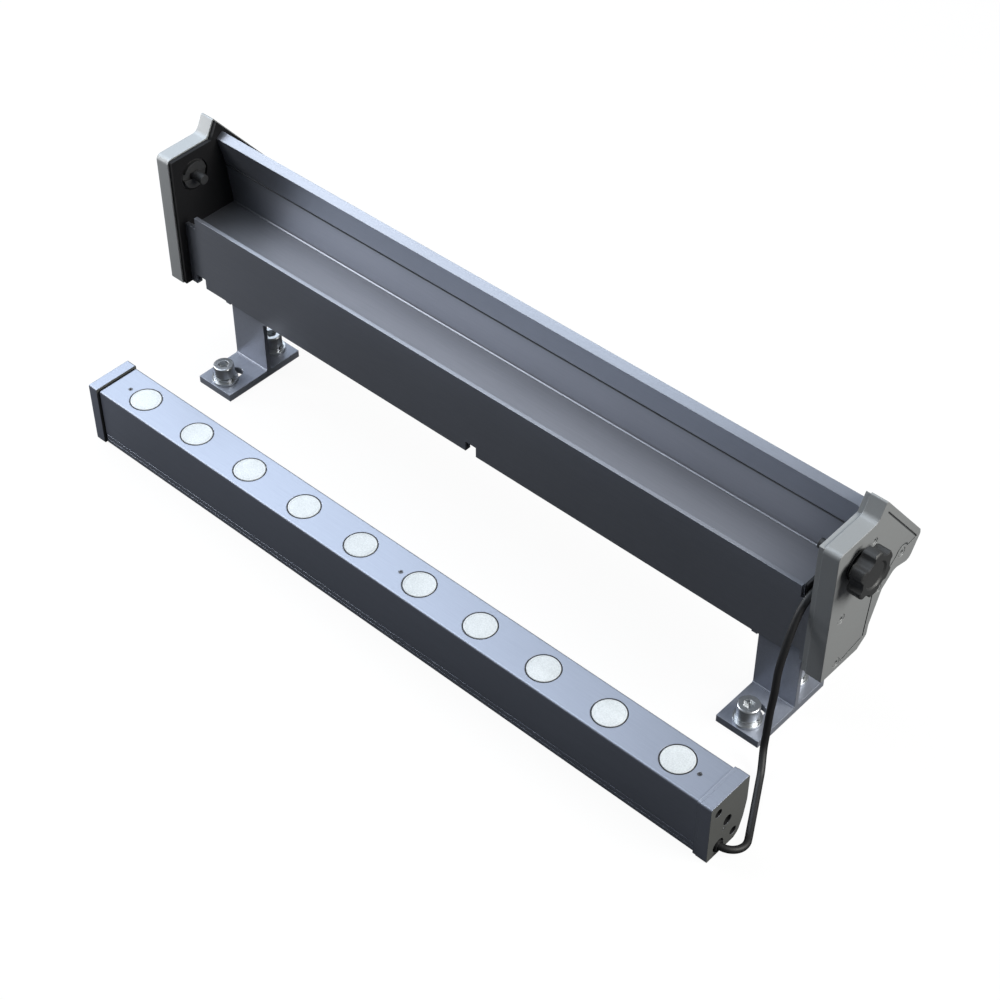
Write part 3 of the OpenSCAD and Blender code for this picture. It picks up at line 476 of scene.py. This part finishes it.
def lens_domes():
    """Lenses: shallow domes with a stepped rim."""
    bm = bmesh.new()
    profile = [(0, -LENS_DEPTH), (LENS_R, -LENS_DEPTH), (LENS_R, 0)] + LENS_RIM
    rise = [math.pi / 2 * k / DOME_STEPS for k in range(DOME_STEPS)]
    profile += [(DOME_R * math.cos(a), DOME_FOOT + DOME_RISE * math.sin(a)) for a in rise]
    profile.append((0, DOME_FOOT + DOME_RISE))
    x, y, z = LENS_ROW
    for i in range(LENS_COUNT):
        step = (i - (LENS_COUNT - 1) / 2) * LENS_PITCH
        turned(bm, at(x + step, y, z), Vector((0, 0, 1)), profile, LENS_SIDES)
    finish_piece("lens_domes", bm, "lens", "light_bar", 60, ["lenses"])


SEAL_GROWTH = 0.00145


def flush_seal():
    """Right seal of the bar, nearly flush between the profile and the cap."""
    bm = bmesh.new()
    bm.from_mesh(frame["nodes"]["bar_right_seal"].data)
    for k in (1, 2):
        low, high = min(v.co[k] for v in bm.verts), max(v.co[k] for v in bm.verts)
        middle, half = (low + high) / 2, (high - low) / 2
        for v in bm.verts:
            v.co[k] = middle + (v.co[k] - middle) * (half + SEAL_GROWTH) / half
    finish_piece("flush_seal", bm, "bar", "light_bar", 32,
                 ["bar_right_seal"])


# The trough, in millimetres: its corner, the way up its back wall, and its half length
TROUGH_CORNER = Vector((45.474, 89.5))
WALL_WAY = Vector((-0.1208, 0.9927))
TROUGH_HALF = 237.4
FILLET_R = 1.3
FILLET_STEPS = 8
FILLET_SINK = 0.4


def trough_fillet():
    """Fillet in the corner between the trough's floor and its back wall."""
    floor_way = Vector((-1, 0))
    opening = math.acos(floor_way.dot(WALL_WAY))
    reach = FILLET_R / math.tan(opening / 2)
    middle = TROUGH_CORNER + (floor_way + WALL_WAY).normalized() * (
        FILLET_R / math.sin(opening / 2))
    first = TROUGH_CORNER + floor_way * reach - middle
    last = TROUGH_CORNER + WALL_WAY * reach - middle
    section = [middle + first.lerp(last, k / FILLET_STEPS).normalized() * FILLET_R
               for k in range(FILLET_STEPS + 1)]
    section.append(TROUGH_CORNER + (TROUGH_CORNER - middle).normalized() * FILLET_SINK)
    bm = bmesh.new()
    bar_between(bm, section, -TROUGH_HALF, TROUGH_HALF)
    finish_piece("trough_fillet", bm, "profile", "housing", 50)


# The guide's outlines, (y, z) in millimetres, and where it starts and ends along x; its black stands
# partly for the shade at the trough's right end
GUIDE_FLOOR = [(8.05, 89.55), (44.0, 89.55), (43.5, 93.9), (8.05, 93.9)]
GUIDE_CHEEK = [(8.05, 93.8), (43.6, 93.8), (42.8, 101.2), (42.0, 101.9), (8.7, 101.9),
               (8.05, 101.2)]
GUIDE_START = 228.6
CHEEK_T = 1.6


def cable_guide_and_shade():
    """Rubber guide beside and under the cable at the right step, its black also painted shade at the
    trough's right end.
    """
    bm = bmesh.new()
    bar_between(bm, GUIDE_FLOOR, GUIDE_START, TROUGH_HALF)
    bar_between(bm, GUIDE_CHEEK, GUIDE_START, GUIDE_START + CHEEK_T)
    finish_piece("cable_guide_and_shade", bm, "rubber", "housing", 40)


SEAM_SECTION = [(41.80, 118.0), (42.3, 118.0), (42.2, 118.75), (41.72, 118.75)]
SEAM_HALF = 237.3


def seam_shade_line():
    """Dark strip in the joint between the lower and the upper profile: painted shade in the gap."""
    bm = bmesh.new()
    bar_between(bm, SEAM_SECTION, -SEAM_HALF, SEAM_HALF)
    finish_piece("seam_shade_line", bm, "groove", "housing", 40)


lens_domes()
flush_seal()
trough_fillet()
cable_guide_and_shade()
seam_shade_line()

FLOOR_HALF = 4
SHADOW_SHARE = 0.06


def build_floor():
    """Floor that is white with a faint shadow for the camera, and dark for other rays."""
    mesh = bpy.data.meshes.new("floor")
    corners = [(-1, -1), (1, -1), (1, 1), (-1, 1)]
    mesh.from_pydata([(x * FLOOR_HALF, y * FLOOR_HALF, 0) for x, y in corners], [],
                     [(0, 1, 2, 3)])
    floor = bpy.data.objects.new("floor", mesh)
    scene.collection.objects.link(floor)
    mat = bpy.data.materials.new("floor")
    mat.use_nodes = True
    nodes, links = mat.node_tree.nodes, mat.node_tree.links
    dim = nodes["Principled BSDF"]
    dim.inputs["Base Color"].default_value = (0.05, 0.05, 0.052, 1)
    dim.inputs["Roughness"].default_value = 1
    dim.inputs["Specular IOR Level"].default_value = 0
    glow = nodes.new("ShaderNodeEmission")
    glow.inputs["Strength"].default_value = 1
    pale = nodes.new("ShaderNodeBsdfDiffuse")
    pale.inputs["Color"].default_value = (0.9, 0.9, 0.9, 1)
    rays = nodes.new("ShaderNodeLightPath")
    shown = nodes.new("ShaderNodeMixShader")
    shown.inputs[0].default_value = SHADOW_SHARE
    links.new(glow.outputs[0], shown.inputs[1])
    links.new(pale.outputs[0], shown.inputs[2])
    blend = nodes.new("ShaderNodeMixShader")
    links.new(rays.outputs["Is Camera Ray"], blend.inputs[0])
    links.new(dim.outputs[0], blend.inputs[1])
    links.new(shown.outputs[0], blend.inputs[2])
    links.new(blend.outputs[0], nodes["Material Output"].inputs["Surface"])
    mesh.materials.append(mat)


WORLD_STRENGTH = 0.13


def build_world():
    """White for the camera and through glass, a weak cool light for the rest."""
    world = bpy.data.worlds.new("studio")
    scene.world = world
    world.use_nodes = True
    nodes, links = world.node_tree.nodes, world.node_tree.links
    back = nodes["Background"]
    back.inputs["Color"].default_value = (0.86, 0.92, 1, 1)
    back.inputs["Strength"].default_value = WORLD_STRENGTH
    white = nodes.new("ShaderNodeBackground")
    white.inputs["Color"].default_value = (1, 1, 1, 1)
    white.inputs["Strength"].default_value = 1
    rays = nodes.new("ShaderNodeLightPath")
    seen = nodes.new("ShaderNodeMath")
    seen.operation = "MAXIMUM"
    links.new(rays.outputs["Is Camera Ray"], seen.inputs[0])
    links.new(rays.outputs["Is Transmission Ray"], seen.inputs[1])
    blend = nodes.new("ShaderNodeMixShader")
    links.new(seen.outputs[0], blend.inputs[0])
    links.new(back.outputs[0], blend.inputs[1])
    links.new(white.outputs[0], blend.inputs[2])
    links.new(blend.outputs[0], nodes["World Output"].inputs["Surface"])


def lamp(name, place, target, size, power, colour=(1, 1, 1)):
    """Rectangular lamp that points at the target; power in watts."""
    data = bpy.data.lights.new(name, "AREA")
    data.shape = "RECTANGLE"
    data.size, data.size_y = size
    data.energy = power
    data.color = colour
    obj = bpy.data.objects.new(name, data)
    scene.collection.objects.link(obj)
    obj.location = place
    obj.rotation_euler = (Vector(target) - Vector(place)).to_track_quat("-Z", "Y").to_euler()
    return obj


STRIP_SPREAD = 2.4


def build_lamps():
    """Wide sky from the left, a side lamp for the right ends, and small fills for the front."""
    lamp("sky", (-0.68, 0.08, 0.95), (-0.15, 0.0, 0.05), (1.1, 1.0), 14.4, (0.81, 0.9, 1))
    lamp("side", (1.1, 0.3, 0.8), (0.15, 0.03, 0.08), (0.7, 0.6), 20, (1, 0.99, 0.95))
    lamp("front", (-0.7, -0.5, 0.7), (-0.2, 0.0, 0.09), (0.35, 0.35), 2.6)
    lamp("left", (-0.62, -0.17, 0.12), (-0.2, 0.0, 0.085), (0.1, 0.1), 1.4)
    # Stands for the light that the two units throw into the trough
    strip = lamp("trough", (0.008, 0.028, 0.128), (0.008, 0.034, 0.0895), (0.40, 0.012), 0.08)
    strip.data.spread = STRIP_SPREAD
    strip.visible_camera = False
    strip.visible_glossy = False


build_floor()
build_world()
build_lamps()
